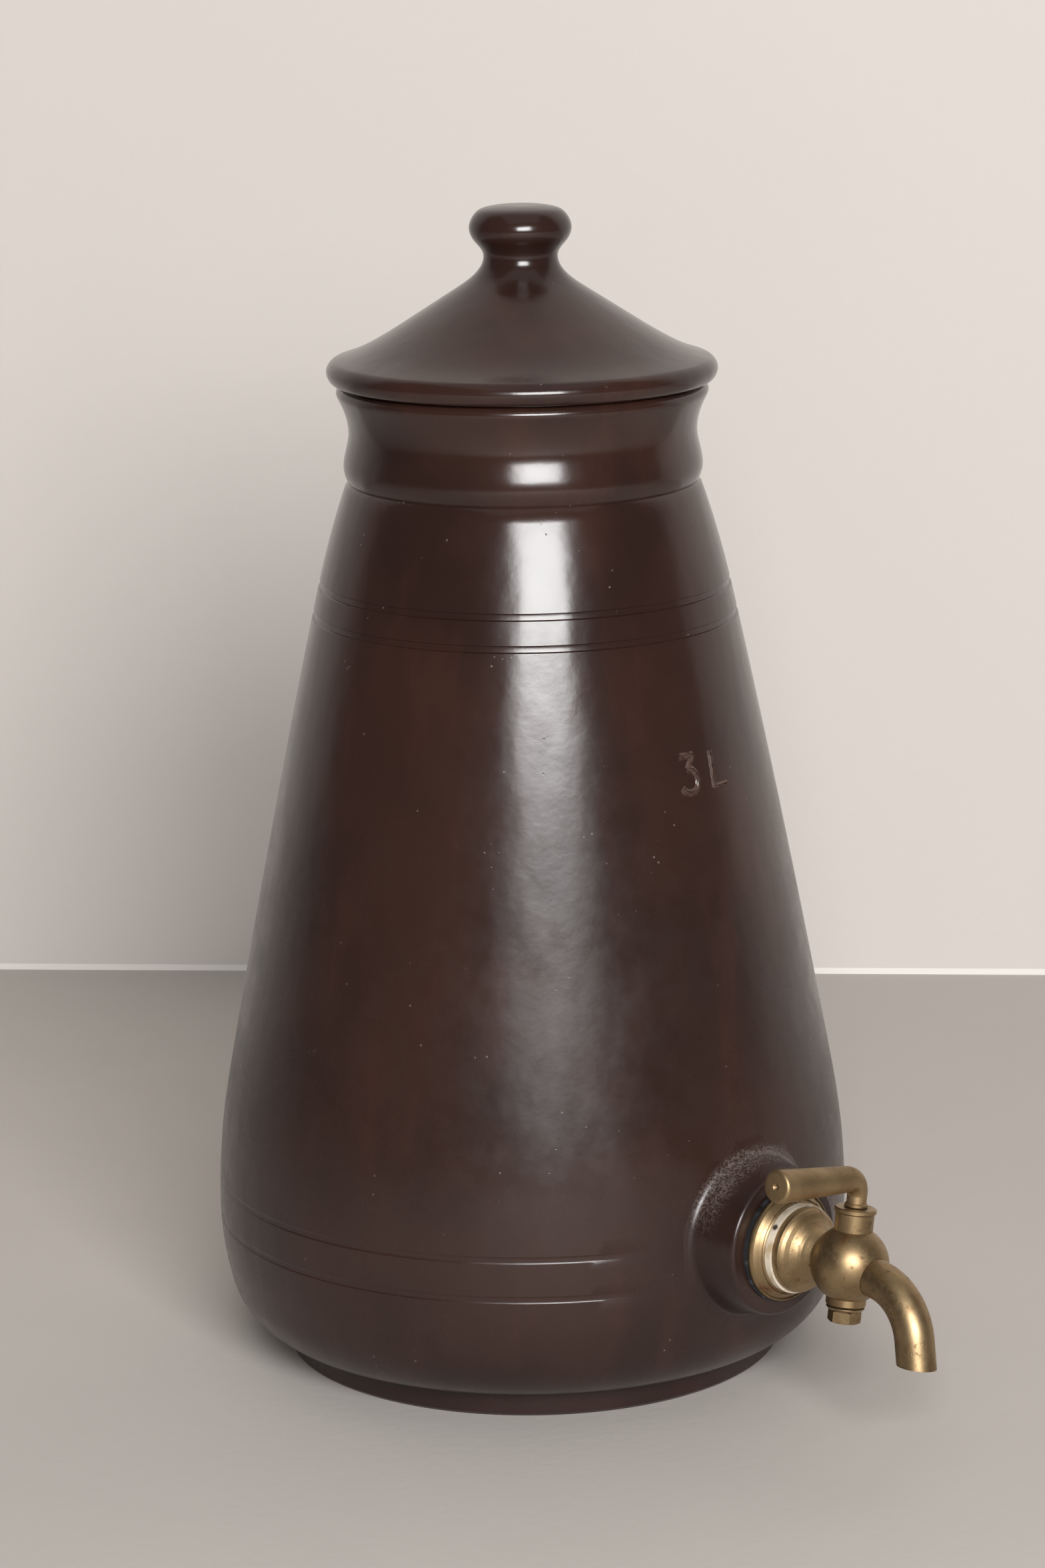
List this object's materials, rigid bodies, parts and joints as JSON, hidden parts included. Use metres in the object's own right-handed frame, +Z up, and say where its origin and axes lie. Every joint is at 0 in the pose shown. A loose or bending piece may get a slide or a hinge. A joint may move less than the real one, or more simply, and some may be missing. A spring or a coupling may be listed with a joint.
{
  "type": "drink dispenser pot with tap",
  "caption": "Glazed stoneware drink dispenser: tapering thrown pot with a loose knobbed lid and a brass plug-cock tap low on its side.",
  "frame": {"origin": "centre of the pot's flat underside, on the axis it was thrown on", "axes": "+Z up along the pot's axis, the tap points to -Y, the closed lever points to -X"},
  "size_m": [0.171, 0.2354, 0.3106],
  "materials": {
    "glaze": "satin dark brown salt glaze",
    "brass": "aged satin",
    "black_rubber": "matt",
    "white_fibre": "matt"
  },
  "bodies": {
    "pot": {"stoneware_pot": "glaze", "boss_seal": "black_rubber", "backing_ring": "brass", "fibre_washer": "white_fibre", "tap_body": "brass", "spout": "brass", "inner_seal": "black_rubber", "inner_washer": "brass", "backnut": "brass"},
    "lid": {"lid": "glaze"},
    "plug": {"tap_plug": "brass", "lever_handle": "brass", "plug_washer": "brass", "plug_nut": "brass"}
  },
  "joints": [
    {"name": "lid_lift", "type": "slide", "parent": "pot", "child": "lid", "axis": [0, 0, 1], "range_m": [0, 0.08]},
    {"name": "tap_turn", "type": "hinge", "parent": "pot", "child": "plug", "pos_m": [0, -0.1187, 0.0477], "axis": [0.1478, 0, 0.989], "range_deg": [-50, 230]}
  ]
}
